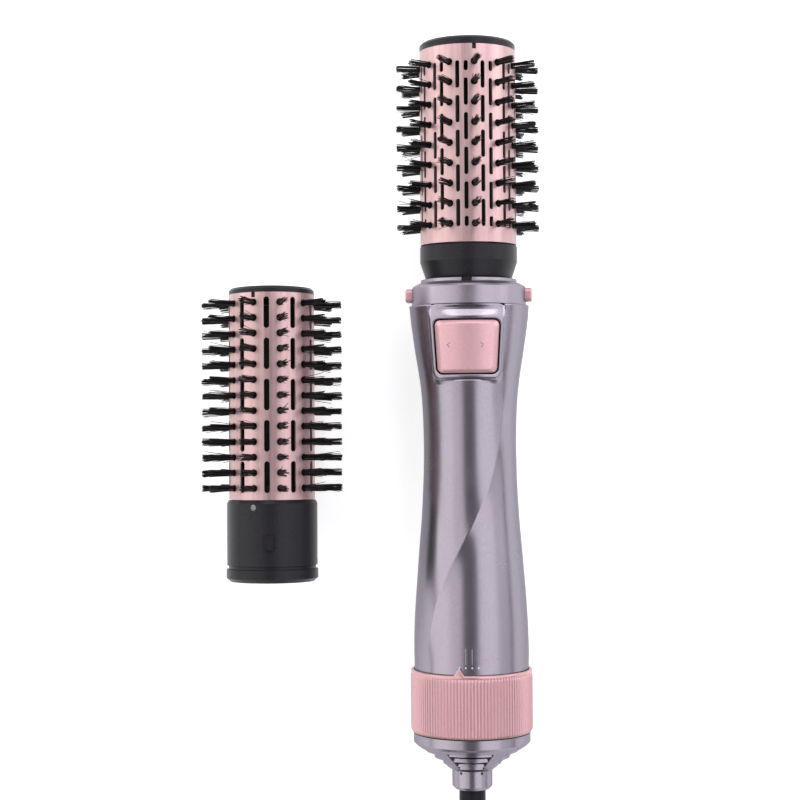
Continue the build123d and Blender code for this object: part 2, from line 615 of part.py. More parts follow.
def main():
    save_cord()
    save_handle()
    save_head("", BARREL_R, TIP_R, ROWS, ROW_TURN, MAIN, MAIN_COLUMNS, HEAD_FOOT, True, LAY, GRIP_TURN, 3.5)
    save_head("spare_", SPARE_BARREL_R, SPARE_TIP_R, SPARE_ROWS, SPARE_ROW_TURN, SPARE, SPARE_COLUMNS,
              SPARE["joint"] - 33.7, False, LAY_SPARE, Rot(0, 0, 0), 2.6)
    print("lean", round(LEAN, 4), "axis at", [round(v, 3) for v in on_axis(0)], "coil at", COIL_AT)


main()
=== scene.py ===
import json
import math
import random

import bpy
import numpy as np
from mathutils import Matrix, Vector


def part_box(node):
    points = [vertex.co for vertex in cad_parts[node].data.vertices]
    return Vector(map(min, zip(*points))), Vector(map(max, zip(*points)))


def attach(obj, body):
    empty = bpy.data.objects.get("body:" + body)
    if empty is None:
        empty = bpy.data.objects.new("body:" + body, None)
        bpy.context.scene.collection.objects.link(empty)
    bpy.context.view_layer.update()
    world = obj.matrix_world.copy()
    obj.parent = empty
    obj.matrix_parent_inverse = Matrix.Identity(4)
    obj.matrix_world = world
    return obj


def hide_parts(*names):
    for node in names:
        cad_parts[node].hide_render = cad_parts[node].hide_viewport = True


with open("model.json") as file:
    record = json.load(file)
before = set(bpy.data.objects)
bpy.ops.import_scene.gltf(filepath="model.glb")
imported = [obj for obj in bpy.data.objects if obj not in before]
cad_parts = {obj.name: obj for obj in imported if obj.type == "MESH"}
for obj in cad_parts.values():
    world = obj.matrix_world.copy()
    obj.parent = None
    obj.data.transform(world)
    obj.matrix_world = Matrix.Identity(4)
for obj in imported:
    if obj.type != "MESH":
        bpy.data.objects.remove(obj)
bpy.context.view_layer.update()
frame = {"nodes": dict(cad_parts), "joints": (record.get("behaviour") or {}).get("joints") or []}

# Lengths below are in millimetres and angles in degrees until they are placed. Each assembly is
# drawn upright, with Z along its own axis and -Y as the side that faces up when it lies down.
MM = 0.001
SEED = 7
joints = {j["name"]: j for j in frame["joints"]}


def upright(pos, axis):
    """Placement whose Z runs along axis and whose -Y side is turned up."""
    z = Vector(axis).normalized()
    x = Vector((1, 0, 0))
    place = Matrix((x, z.cross(x), z)).transposed().to_4x4()
    place.translation = Vector(pos)
    return place


BRUSH = upright(joints["cord_swivel"]["pos_m"], joints["cord_swivel"]["axis"])
pivot = BRUSH.inverted() @ Vector(joints["rotation_rocker"]["pos_m"])
GRIP = BRUSH @ Matrix.Rotation(math.atan2(pivot.x, -pivot.y), 4, "Z")
spare_axis = joints["spare_barrel_spin"]
spare_foot = Vector(spare_axis["pos_m"])
spare_foot.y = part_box("spare_head_base")[0].y
SPARE = upright(spare_foot, spare_axis["axis"])

# ---- camera: straight above, a little left of the brush ----
CAMERA_HEIGHT = 744.0      # above the brush's axis
CAMERA_LEFT = 29.0         # of the brush's axis
CAMERA_ROLL = 0.4
FOOT_POINT, LOOK_POINT = 136.3, 161.3   # heights along the brush, under the lens and in mid-picture
LENS, FILM = 80.4, 36.0


def make_camera():
    data = bpy.data.cameras.new("camera")
    data.lens = LENS
    data.sensor_width = FILM
    data.clip_start, data.clip_end = 0.05, 20.0
    camera = bpy.data.objects.new("camera", data)
    bpy.context.scene.collection.objects.link(camera)
    left = Vector((-CAMERA_LEFT * MM, 0, 0))
    target = BRUSH @ Vector((0, 0, LOOK_POINT * MM)) + left
    foot = BRUSH @ Vector((0, 0, FOOT_POINT * MM)) + left
    camera.location = (foot.x, foot.y, target.z + CAMERA_HEIGHT * MM)
    toward = (target - camera.location).normalized()
    roll = math.radians(CAMERA_ROLL)
    up = Vector((math.sin(roll), math.cos(roll), 0))
    right = toward.cross(up).normalized()
    turn = Matrix((right, right.cross(toward), -toward)).transposed()
    camera.rotation_euler = turn.to_euler()
    bpy.context.scene.camera = camera


# ---- light ----
# Softboxes along the brush, seen from its middle: two angles off the vertical, radiance, and
# where each begins and ends along the brush, in metres.
SOFTBOXES = (
    ("softbox_left_low", -44, -86, 1.95, -1.7, 1.7),
    ("softbox_left_high", -19, -44, 1.45, -1.7, 1.7),
    ("softbox_right_high", 12, 54, 1.9, -1.7, 1.7),
    ("softbox_right_low", 54, 84, 1.1, -1.7, 0.2),
    ("softbox_right_head", 58, 86, 4.2, 0.2, 0.9),
    ("softbox_left_head", -77, -89, 2.4, 0.12, 0.9),
)
END_BOX = (22, 66, 2.6, 1.7)   # beyond the tip: two angles, radiance, width in metres
BOX_AWAY = 1.5                 # metres from the brush
BRUSH_MIDDLE = 0.16            # metres from the brush's foot
WARM, COOL = (1.0, 1.0, 0.97), (0.98, 0.98, 1.0)
SURROUND = 0.14
SURROUND_COLOUR = (0.92, 0.88, 1.05)
FLOOR_GLOW = 0.42
FLOOR_HALF = 4.0               # metres

# ---- materials ----
NOISE_LOW, NOISE_HIGH = 0.3, 0.7   # where nearly all of a noise's values lie
BROAD_GRAIN = 60                   # cycles per metre of the uneven gloss
BUMP_DEPTH = 0.00002               # metres


def node_material(name):
    material = bpy.data.materials.new(name)
    material.use_nodes = True
    nodes = material.node_tree.nodes
    return material, nodes, material.node_tree.links, nodes["Principled BSDF"]


def noise(nodes, links, scale, detail=3.0, stretch=(1, 1, 1)):
    """Noise over the piece's own coordinates, in cycles per metre."""
    where = nodes.new("ShaderNodeTexCoord")
    mapping = nodes.new("ShaderNodeMapping")
    mapping.inputs["Scale"].default_value = stretch
    texture = nodes.new("ShaderNodeTexNoise")
    texture.inputs["Scale"].default_value = scale
    texture.inputs["Detail"].default_value = detail
    links.new(where.outputs["Object"], mapping.inputs["Vector"])
    links.new(mapping.outputs["Vector"], texture.inputs["Vector"])
    return texture.outputs["Fac"]


def spread(nodes, links, value, low, high):
    """The noise value stretched over low to high."""
    ramp = nodes.new("ShaderNodeMapRange")
    ramp.inputs["From Min"].default_value = NOISE_LOW
    ramp.inputs["From Max"].default_value = NOISE_HIGH
    ramp.inputs["To Min"].default_value = low
    ramp.inputs["To Max"].default_value = high
    links.new(value, ramp.inputs["Value"])
    return ramp.outputs["Result"]


def tint(nodes, links, value, dark, light):
    """Colour from dark to light with the noise value."""
    value = spread(nodes, links, value, 0.0, 1.0)
    mix = nodes.new("ShaderNodeMix")
    mix.data_type = "RGBA"
    mix.inputs["A"].default_value = (*dark, 1)
    mix.inputs["B"].default_value = (*light, 1)
    links.new(value, mix.inputs["Factor"])
    return mix.outputs["Result"]


def surface(name, dark, light, roughness, metallic, grain, stretch=(1, 1, 1), bump=0.02,
            specular=0.5, edge=(1, 1, 1)):
    """Moulded, coated or metal surface: two-tone colour, uneven gloss and fine grain."""
    material, nodes, links, shader = node_material(name)
    broad = noise(nodes, links, BROAD_GRAIN)
    fine = noise(nodes, links, grain, 2.0, stretch)
    gloss = spread(nodes, links, broad, roughness * 0.9, roughness * 1.12)
    links.new(tint(nodes, links, fine, dark, light), shader.inputs["Base Color"])
    links.new(gloss, shader.inputs["Roughness"])
    shader.inputs["Metallic"].default_value = metallic
    shader.inputs["Specular IOR Level"].default_value = specular
    shader.inputs["Specular Tint"].default_value = (*edge, 1)
    relief = nodes.new("ShaderNodeBump")
    relief.inputs["Strength"].default_value = bump
    relief.inputs["Distance"].default_value = BUMP_DEPTH
    links.new(fine, relief.inputs["Height"])
    links.new(relief.outputs["Normal"], shader.inputs["Normal"])
    return material


def barrel_metal():
    """Rose anodised sheet with drawing marks in its colour and gloss."""
    material, nodes, links, shader = node_material("rose_anodised")
    fine = noise(nodes, links, 700, 2.0, (1, 0.04, 0.04))
    colour = tint(nodes, links, fine, (0.40, 0.262, 0.266), (0.475, 0.318, 0.322))
    links.new(colour, shader.inputs["Base Color"])
    links.new(spread(nodes, links, fine, 0.33, 0.40), shader.inputs["Roughness"])
    shader.inputs["Metallic"].default_value = 0.8
    return material


def make_materials():
    """One material per finish: name, dark and light tone, roughness, metallic, grain."""
    return {
        "grip": surface("mauve_metallic", (0.235, 0.211, 0.25), (0.285, 0.257, 0.30),
                        0.25, 0.95, 2600, bump=0.03, edge=(0.55, 0.55, 0.58)),
        "pink": surface("pink_satin", (0.48, 0.28, 0.305), (0.53, 0.31, 0.335),
                        0.34, 0.38, 1500, bump=0.03),
        "pink_ring": surface("pink_ring", (0.45, 0.265, 0.28), (0.50, 0.295, 0.31),
                             0.32, 0.65, 1500, bump=0.03),
        "barrel": barrel_metal(),
        "black": surface("black_plastic", (0.009, 0.008, 0.010), (0.015, 0.014, 0.017),
                         0.33, 0.0, 1600, bump=0.1, specular=0.15),
        "nylon": surface("black_nylon", (0.004, 0.004, 0.004), (0.010, 0.009, 0.010),
                         0.38, 0.0, 900, bump=0.0, specular=0.25),
        "rubber": surface("cord_rubber", (0.005, 0.005, 0.008), (0.010, 0.010, 0.014),
                          0.40, 0.0, 1800, bump=0.1, specular=0.10),
        "collar": surface("mauve_collar", (0.25, 0.224, 0.262), (0.30, 0.272, 0.315),
                          0.34, 0.95, 2600, edge=(0.7, 0.7, 0.72)),
        "steel": surface("plated_steel", (0.42, 0.42, 0.43), (0.60, 0.60, 0.61),
                         0.28, 1.0, 1200, (1, 0.05, 1)),
        "dark_steel": surface("dark_steel", (0.10, 0.10, 0.11), (0.18, 0.18, 0.19),
                              0.35, 1.0, 1200),
        "nickel": surface("nickel_pins", (0.62, 0.60, 0.56), (0.72, 0.70, 0.66),
                          0.20, 1.0, 1500, (1, 1, 0.05)),
        "white": surface("natural_nylon", (0.62, 0.61, 0.57), (0.72, 0.71, 0.67), 0.45, 0.0, 800),
        "mica": surface("mica_sheet", (0.38, 0.30, 0.18), (0.58, 0.49, 0.33), 0.35, 0.1, 500),
        "board": surface("circuit_board", (0.01, 0.10, 0.04), (0.02, 0.17, 0.07), 0.35, 0.0, 700),
        "mark": surface("mark_print", (0.45, 0.42, 0.46), (0.55, 0.52, 0.56),
                        0.40, 0.3, 2000, bump=0.0),
        "mark_dim": surface("mark_print_dim", (0.20, 0.185, 0.21), (0.26, 0.24, 0.27),
                            0.40, 0.3, 2000, bump=0.0),
    }


def make_lights():
    """Long softboxes on both sides of the lens, one beyond the tip, and a dim surround."""
    world = bpy.data.worlds.new("studio")
    world.use_nodes = True
    background = world.node_tree.nodes["Background"]
    background.inputs["Color"].default_value = (*SURROUND_COLOUR, 1)
    background.inputs["Strength"].default_value = SURROUND
    bpy.context.scene.world = world
    aim = BRUSH @ Vector((0, 0, BRUSH_MIDDLE))
    for name, low, high, radiance, near, far in SOFTBOXES:
        middle, half = math.radians((low + high) / 2), math.radians(abs(high - low) / 2)
        light = softbox(name, 2 * BOX_AWAY * math.tan(half), far - near, radiance)
        across, up = math.sin(middle) * BOX_AWAY, math.cos(middle) * BOX_AWAY
        light.location = aim + Vector((across, (near + far) / 2, up))
        light.rotation_euler = (0, middle, 0)
        light.data.color = WARM if middle < 0 else COOL
    low, high, radiance, width = END_BOX
    middle, half = math.radians((low + high) / 2), math.radians((high - low) / 2)
    light = softbox("softbox_end", width, 2 * BOX_AWAY * math.tan(half), radiance)
    light.location = aim + Vector((0, math.sin(middle), math.cos(middle))) * BOX_AWAY
    light.rotation_euler = (-middle, 0, 0)


def softbox(name, wide, tall, radiance):
    """Rectangular light whose face has the given radiance."""
    data = bpy.data.lights.new(name, "AREA")
    data.shape = "RECTANGLE"
    data.size, data.size_y = wide, tall
    data.energy = radiance * math.pi * wide * tall
    light = bpy.data.objects.new(name, data)
    bpy.context.scene.collection.objects.link(light)
    return light


def make_floor():
    material = surface("pale_floor", (0.80, 0.80, 0.80), (0.82, 0.82, 0.82), 0.7, 0.0, 40,
                       bump=0.0, specular=0.1)
    shader = material.node_tree.nodes["Principled BSDF"]
    shader.inputs["Emission Color"].default_value = (1, 1, 1, 1)
    shader.inputs["Emission Strength"].default_value = FLOOR_GLOW
    mesh = bpy.data.meshes.new("floor")
    corners = [(x * FLOOR_HALF, y * FLOOR_HALF, 0) for x, y in ((-1, -1), (1, -1), (1, 1), (-1, 1))]
    mesh.from_pydata(corners, [], [(0, 1, 2, 3)])
    mesh.materials.append(material)
    floor = bpy.data.objects.new("floor", mesh)
    bpy.context.scene.collection.objects.link(floor)


# ---- mesh helpers ----
def piece(name, vertices, faces, place, body, material, smooth=True):
    """A mesh piece from points in millimetres, placed and riding on a body."""
    mesh = bpy.data.meshes.new(name)
    mesh.from_pydata((np.asarray(vertices, float) * MM).tolist(), [], faces)
    mesh.validate()
    mesh.update()
    mesh.polygons.foreach_set("use_smooth", [smooth] * len(mesh.polygons))
    mesh.materials.append(material)
    made = bpy.data.objects.new(name, mesh)
    bpy.context.scene.collection.objects.link(made)
    made.matrix_world = place
    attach(made, body)
    return made


def grid_faces(rows, columns, closed):
    """Quads of a grid of points stored row by row; closed joins the last column to the first."""
    faces = []
    last = columns if closed else columns - 1
    for i in range(rows - 1):
        for j in range(last):
            a, b = i * columns + j, i * columns + (j + 1) % columns
            faces.append((a, b, b + columns, a + columns))
    return faces


def grid_piece(name, rows, closed, place, body, material):
    """A mesh piece from rows of points of equal length."""
    faces = grid_faces(rows.shape[0], rows.shape[1], closed)
    return piece(name, rows.reshape(-1, 3), faces, place, body, material)


def on_round(theta, radius, height):
    """Points at angle theta from the front, at a radius and height."""
    theta, radius, height = np.broadcast_arrays(np.radians(theta), radius, height)
    return np.stack([radius * np.sin(theta), -radius * np.cos(theta), height], -1)


def smooth_step(value, low, high):
    """0 below low, 1 above high, and a smooth rise between them."""
    t = np.clip((value - low) / (high - low), 0, 1)
    return t * t * (3 - 2 * t)


def smooth_curve(points, at):
    """Smooth curve through (height, value) points, read at the given heights."""
    heights, values = (np.array(side, float) for side in zip(*points))
    slopes = np.gradient(values, heights)
    k = np.clip(np.searchsorted(heights, at) - 1, 0, len(heights) - 2)
    span = heights[k + 1] - heights[k]
    t = (at - heights[k]) / span
    return ((2 * t**3 - 3 * t**2 + 1) * values[k] + (t**3 - 2 * t**2 + t) * span * slopes[k]
            + (3 * t**2 - 2 * t**3) * values[k + 1] + (t**3 - t**2) * span * slopes[k + 1])


# ---- cord ----
CORD_R = 3.3
RELIEF_END = -43.0         # height on the brush's axis where the cord leaves its strain relief
COIL_COLUMNS = (48.7, 42.1, 35.5, 28.9)
COIL_TURNS, COIL_STEPS = 6.25, 16
# Points past the strain relief's end, with their height over the table, and past the coil's middle.
LEAD = [(0.0, 0.0, None), (0.1, -14.0, 22.9), (0.5, -29.0, 18.4), (1.2, -44.5, 11.2),
        (1.4, -60.0, 5.5), (0.9, -76.0, 3.7), (0.3, -92.0, 3.6)]
TAIL = [(-15.0, -49.3, 10.0), (-30.0, -50.7, 10.8), (-44.0, -51.6, 12.6), (-57.0, -51.7, 13.5)]


def stepped(turn, steps):
    """Value that moves from one level to the next over each step's stretch of turns."""
    value = steps[0][1]
    for start, end, level in steps[1:]:
        if turn >= end:
            value = level
        elif turn > start:
            value += (level - value) * (turn - start) / (end - start)
    return value


def coil_points():
    """Two layers of turns, wound inwards below and outwards above."""
    a, b, c, d = COIL_COLUMNS
    radii = [(0, a), (0.8, 1.0, b), (1.8, 2.0, c), (2.8, 3.0, d),
             (4.05, 4.25, c), (5.05, 5.25, b), (6.05, 6.25, a)]
    heights = [(0, CORD_R), (3.3, 3.5, 3 * CORD_R)]
    out = 1 / math.cos(math.pi / COIL_STEPS)
    points = []
    for step in range(1, int(COIL_TURNS * COIL_STEPS) + 1):
        turn = step / COIL_STEPS
        radius = stepped(turn, radii) * out
        angle = -2 * math.pi * turn
        points.append((radius * math.cos(angle), radius * math.sin(angle), stepped(turn, heights)))
    return points


def make_cord(material):
    start = BRUSH @ Vector((0, 0, RELIEF_END * MM))
    coil = (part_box("cord_coil")[0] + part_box("cord_coil")[1]) / 2
    lead = [(start.x + x * MM, start.y + y * MM, start.z if z is None else z * MM)
            for x, y, z in LEAD]
    wound = [(coil.x + x * MM, coil.y + y * MM, z * MM) for x, y, z in coil_points() + TAIL]
    route = lead + wound
    curve = bpy.data.curves.new("mains_lead", "CURVE")
    curve.dimensions = "3D"
    curve.bevel_depth = CORD_R * MM
    curve.bevel_resolution = 5
    curve.use_fill_caps = True
    spline = curve.splines.new("NURBS")
    spline.points.add(len(route) - 1)
    for point, place in zip(spline.points, route):
        point.co = (*place, 1)
    spline.order_u = 3
    spline.use_endpoint_u = True
    spline.resolution_u = 4
    curve.materials.append(material)
    lead_piece = bpy.data.objects.new("mains_lead", curve)
    bpy.context.scene.collection.objects.link(lead_piece)
    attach(lead_piece, "cord_end")
    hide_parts("cord", "cord_coil")


# ---- tufts ----
FIBRES = 34                # in each tuft
FIBRE_R = 0.16
FIBRE_SIDES, FIBRE_RINGS = 3, 4
TUFT_FOOT_R, TUFT_TIP_R = 1.12, 1.5
STRIP_SUNK = 1.1           # depth of a strip's face under the barrel's outside
# Strips: how many and the first one's angle, tufts on each with the first one's height and the
# step to the next, and the heights between which the bar that carries them runs.
MAIN_STRIPS = dict(count=12, turn=6.0, tufts=9, first=232.8, pitch=8.25, foot=228.6, top=303.1,
                   barrel_r=20.0, tip_r=30.0)
SPARE_STRIPS = dict(count=10, turn=15.4, tufts=13, first=38.6, pitch=6.33, foot=37.1, top=115.8,
                    barrel_r=17.8, tip_r=29.4)
BAR_SECTION = [(-2.5, 0.4), (-2.1, 0), (2.1, 0), (2.5, 0.4), (2.5, 1.9), (-2.5, 1.9)]


def fibre(rng, foot_r, tip_r):
    """Points of one nylon fibre that leans outwards from its tuft, in (across, along, out) axes."""
    angle, share = rng.uniform(0, 2 * math.pi), math.sqrt(rng.random())
    lean = rng.gauss(0, 0.22)
    stray = 1.9 if rng.random() < 0.05 else 1.0
    foot = share * TUFT_FOOT_R * np.array([math.cos(angle), math.sin(angle)])
    tip = share * TUFT_TIP_R * stray * np.array([math.cos(angle + lean), math.sin(angle + lean)])
    tip = tip + (rng.gauss(0, 0.16), rng.gauss(0, 0.16))
    length = tip_r - foot_r - abs(rng.gauss(0, 0.45)) - 0.6 * (stray > 1)
    bow = np.array([rng.gauss(0, 0.10), rng.gauss(0, 0.10)])
    points = []
    for ring in range(FIBRE_RINGS):
        t = ring / (FIBRE_RINGS - 1)
        centre = foot + (tip - foot) * t**1.3 + bow * math.sin(math.pi * t)
        radius = FIBRE_R * (1 - 0.15 * t)
        for side in range(FIBRE_SIDES):
            turn = 2 * math.pi * side / FIBRE_SIDES + angle
            points.append((centre[0] + radius * math.cos(turn),
                           centre[1] + radius * math.sin(turn), foot_r + length * t))
    faces = grid_faces(FIBRE_RINGS, FIBRE_SIDES, True)
    faces.append(tuple(range((FIBRE_RINGS - 1) * FIBRE_SIDES, FIBRE_RINGS * FIBRE_SIDES)))
    return points, faces


def strip_piece(name, rng, strips, index, place, body, material):
    """One row of tufts with the bar inside the barrel that carries them."""
    face_r = strips["barrel_r"] - STRIP_SUNK
    points, faces = [], []
    for tuft in range(strips["tufts"]):
        z = strips["first"] + strips["pitch"] * tuft
        for _ in range(FIBRES):
            made, quads = fibre(rng, face_r - 0.2, strips["tip_r"])
            start = len(points)
            points += [(across, -out, z + along) for across, along, out in made]
            faces += [tuple(start + i for i in quad) for quad in quads]
    start, count = len(points), len(BAR_SECTION)
    for z in (strips["foot"], strips["top"]):
        points += [(x, -face_r + y, z) for x, y in BAR_SECTION]
    faces += [tuple(start + i for i in quad) for quad in grid_faces(2, count, True)]
    faces += [tuple(range(start, start + count)), tuple(range(start + count, start + 2 * count))]
    turn = strips["turn"] + 360 / strips["count"] * index
    turned = place @ Matrix.Rotation(math.radians(turn), 4, "Z")
    return piece(name, points, faces, turned, body, material, smooth=False)


def make_tufts(material):
    rng = random.Random(SEED)
    for k in range(MAIN_STRIPS["count"]):
        made = strip_piece(f"tufts_{k + 1:02d}", rng, MAIN_STRIPS, k, BRUSH, "barrel", material)
        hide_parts(f"bristle_strip_{k + 1:02d}")
    for k in range(SPARE_STRIPS["count"]):
        made = strip_piece(f"spare_tufts_{k + 1:02d}", rng, SPARE_STRIPS, k, SPARE, "spare_barrel",
                           material)
        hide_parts("spare_bristle_strips")


# ---- grip ----
GRIP_FOOT, GRIP_TOP = 49.5, 200.0
GRIP_PROFILE = [(GRIP_FOOT, 23.75), (64.0, 23.75), (90.4, 22.1), (119.0, 19.9), (141.0, 19.25),
                (166.0, 20.3), (184.0, 23.0), (GRIP_TOP, 24.9)]
GRIP_LIP = 1.8             # how far the front shell's end faces reach inwards
ROCKER = dict(foot=171.9, top=193.3, foot_w=24.3, top_w=26.3, corner=2.2)
BEZEL = dict(foot=169.4, top=199.9, foot_w=28.4, top_w=31.8, corner=3.2)
WELL_DEPTH = 5.8           # under the bezel, room for the rocker's tilt
ROCKER_GAP = 0.55
SKIRT = 4.0                # how deep the rocker and the bezel's inner wall reach below their faces
CROWN_R = 34.0
FACE_FOOT, FACE_TOP = 22.1, 24.0
CREASE_MIDDLE, CREASE_REACH, CREASE_TURN = 107.0, 35.0, 51.0   # height, half length, degrees
CREASE_HEIGHT, CREASE_RIGHT, CREASE_LEFT = 0.50, 2.8, 4.5      # and how far each flank runs out
CREASE_R = 21.0            # grip's radius near the crease
OUTLINE_POINTS = 176


def grip_radius(height):
    return smooth_curve(GRIP_PROFILE, height)


def face_out(x, height):
    """How far the rocker's crowned face stands out from the axis."""
    share = (height - ROCKER["foot"]) / (ROCKER["top"] - ROCKER["foot"])
    middle = FACE_FOOT + (FACE_TOP - FACE_FOOT) * share
    return middle - (CROWN_R - np.sqrt(CROWN_R**2 - np.minimum(np.abs(x), 20.0)**2))


def inside_outline(x, height, shape):
    """Distance inside a rounded trapezoid that is open at its top, negative outside it."""
    t = (height - shape["foot"]) / (shape["top"] - shape["foot"])
    half = (shape["foot_w"] + (shape["top_w"] - shape["foot_w"]) * t) / 2
    corner = shape["corner"]
    qx = np.abs(x) - half + corner
    qy = shape["foot"] + corner - height
    rounded = np.hypot(np.maximum(qx, 0), np.maximum(qy, 0))
    return corner - rounded - np.minimum(np.maximum(qx, qy), 0)


def crease(theta, height):
    """Low ridge that winds across the front: steeper on its right than on its left."""
    along = (height - CREASE_MIDDLE) / CREASE_REACH
    middle = CREASE_TURN * np.tanh(along)
    across = np.radians(theta - middle) * grip_radius(height)
    slant = np.sqrt(1 + (np.radians(CREASE_TURN / CREASE_REACH) * CREASE_R / np.cosh(along)**2)**2)
    distance = across / slant
    fade = smooth_step(height, 52, 72) * (1 - smooth_step(height, 150, 166))
    right = np.exp(-np.maximum(distance, 0) / CREASE_RIGHT)
    left = np.exp(-np.maximum(-distance, 0) / CREASE_LEFT)
    return CREASE_HEIGHT * fade * np.where(distance > 0, right, left)


def make_front_shell(material):
    """Front half of the grip, with its crease and a well under the rocker's bezel."""
    edge = np.array([-90, -86, -82, -78, -74])
    theta = np.concatenate([edge, np.arange(-70, 70.01, 0.56), -edge[::-1]])
    height = np.concatenate([[GRIP_FOOT], np.arange(50.0, 199.7, 0.52), [GRIP_TOP]])
    t, z = np.meshgrid(theta, height)
    radius = grip_radius(z) + crease(t, z)
    x = radius * np.sin(np.radians(t))
    well = smooth_step(inside_outline(x, z, BEZEL), 0.0, 0.9) * (np.abs(t) < 75)
    points = on_round(t, radius - WELL_DEPTH * well, z)
    lip_foot, lip_top = (on_round(theta, grip_radius(np.array(end)) - GRIP_LIP, end)
                         for end in (GRIP_FOOT, GRIP_TOP))
    rows = np.concatenate([lip_foot[None], points, lip_top[None]])
    made = grid_piece("grip_front", rows, False, GRIP, "handle", material)
    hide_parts("front_shell")


def outline_points(shape, margin):
    """Closed outline of a rounded trapezoid, grown by a margin, as evenly spaced (x, height)."""
    half_foot, half_top = shape["foot_w"] / 2 + margin, shape["top_w"] / 2 + margin
    foot, top, corner = shape["foot"] - margin, shape["top"] + margin, shape["corner"] + margin
    arc = np.radians(np.linspace(0, 90, 12))
    centres = [(half_foot - corner, foot + corner, -90), (half_top - corner, top - corner, 0),
               (-half_top + corner, top - corner, 90), (-half_foot + corner, foot + corner, 180)]
    points = []
    for cx, cz, start in centres:
        for angle in arc:
            turn = math.radians(start) + angle
            points.append((cx + corner * math.cos(turn), cz + corner * math.sin(turn)))
    points = np.array(points)
    steps = np.hypot(*np.diff(np.vstack([points, points[:1]]), axis=0).T)
    along = np.concatenate([[0], np.cumsum(steps)])
    closed = np.vstack([points, points[:1]])
    at = np.linspace(0, along[-1], OUTLINE_POINTS, endpoint=False)
    return np.stack([np.interp(at, along, closed[:, 0]), np.interp(at, along, closed[:, 1])], -1)


# Across the bezel from the rocker's gap outwards: share of the way, and drop below its face.
BEZEL_ROLL = ((0.03, 0.34), (0.08, 0.17), (0.15, 0.06), (0.24, 0.0), (0.36, 0.0), (0.48, 0.03),
              (0.6, 0.1), (0.72, 0.21), (0.82, 0.35), (0.90, 0.52), (0.96, 0.72), (1.0, 0.95))
BEZEL_SUNK = 0.45          # bezel's face below the rocker's
SCOOP_DEPTH, SCOOP_HALF = 1.5, 15.5
SCOOP_DEEPEST = 0.7        # share of the scoop's length, from the rocker's side


def scoop(x, z):
    """Depth of the finger scoop between the rocker and the bezel's top."""
    start = ROCKER["top"] + 0.7
    t = np.clip((z - start) / (BEZEL["top"] - start), 0, 1)
    dip = np.where(t < SCOOP_DEEPEST, np.sin(t / SCOOP_DEEPEST * math.pi / 2)**2,
                   np.cos((t - SCOOP_DEEPEST) / (1 - SCOOP_DEEPEST) * math.pi / 2)**2)
    return SCOOP_DEPTH * dip * (0.3 + 0.7 * np.cos(np.clip(x / SCOOP_HALF, -1, 1) * math.pi / 2))


def make_bezel(material):
    """Raised frame round the rocker: finger scoop above it, rolled edges, and a skirt below."""
    inner = outline_points(ROCKER, ROCKER_GAP)
    outer = outline_points(BEZEL, 0.0)
    rings = []
    walls = [(inner, drop) for drop in (SKIRT, 1.2, 0.55)]
    rolls = [(inner + (outer - inner) * share, drop) for share, drop in BEZEL_ROLL]
    for outline, drop in walls + rolls:
        x, z = outline[:, 0], outline[:, 1]
        out = face_out(x, z) - BEZEL_SUNK - drop - scoop(x, z)
        rings.append(np.stack([x, -out, z], -1))
    edge = rings[-1]
    foot_side = np.clip((BEZEL["foot"] + 4.0 - edge[:, 2]) / 4.0, 0, 1)
    top_side = edge[:, 2] > BEZEL["top"] - 0.6
    for share in (0.25, 0.5, 0.75, 1.0):
        grown = outline_points(BEZEL, 0.9 * share)
        x = np.where(top_side, edge[:, 0], grown[:, 0])
        z = np.where(top_side, edge[:, 2], grown[:, 1] - 2.2 * share * foot_side)
        ground = np.sqrt(np.maximum((grip_radius(np.clip(z, 50, 200)) - 0.5)**2 - x**2, 1))
        out = -edge[:, 1] + (ground + edge[:, 1]) * share**0.8
        rings.append(np.stack([x, -out, z], -1))
    made = grid_piece("rocker_frame", np.array(rings), True, GRIP, "handle", material)
    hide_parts("switch_bezel")


# The rocker from its skirt to the edge of its face: inset across, inset along, drop.
RIM_X, RIM_Z = 2.15, 1.6
ROCKER_RIM = ((0, 0, SKIRT), (0, 0, 1.25), (0.05, 0.05, 1.02), (0.2, 0.18, 0.86), (0.9, 0.7, 0.5),
              (1.6, 1.15, 0.14), (1.85, 1.35, 0.03), (RIM_X, RIM_Z, 0.0))
# Direction marks: each side's name, sign and the x where its arrowhead starts.
ARROWS = (("left", -1, 6.6), ("right", 1, 5.4))
ARROW_HALF_WIDTH = 0.13


def make_rocker(material, mark):
    """Crowned rocker with a bevelled rim and two shallow direction marks."""
    outline = outline_points(ROCKER, 0.0)
    middle = (ROCKER["foot"] + ROCKER["top"]) / 2
    half, tall = np.abs(outline[:, 0]).max(), (ROCKER["top"] - ROCKER["foot"]) / 2
    face = [(half - (half - RIM_X) * share, tall - (tall - RIM_Z) * share, 0.0)
            for share in (0.85, 0.7, 0.55, 0.4, 0.25, 0.1, 0.02)]
    rings = []
    for inset_x, inset_z, drop in (*ROCKER_RIM, *face):
        x = outline[:, 0] * (1 - inset_x / half)
        z = middle + (outline[:, 1] - middle) * (1 - inset_z / tall)
        rings.append(np.stack([x, drop - face_out(x, z), z], -1))
    points = np.array(rings).reshape(-1, 3)
    faces = grid_faces(len(rings), len(outline), True)
    faces.append(tuple(range(len(points) - len(outline), len(points))))
    made = piece("rocker", points, faces, GRIP, "rocker", material)
    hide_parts("rocker_button")
    for side, sign, x in ARROWS:
        corners = [(sign * x, 184.2), (sign * (x + 1.4), 183.3), (sign * (x + 0.3), 182.1)]
        for k in range(2):
            ribbon(f"rocker_mark_{side}_{k}", corners[k], corners[k + 1], mark)


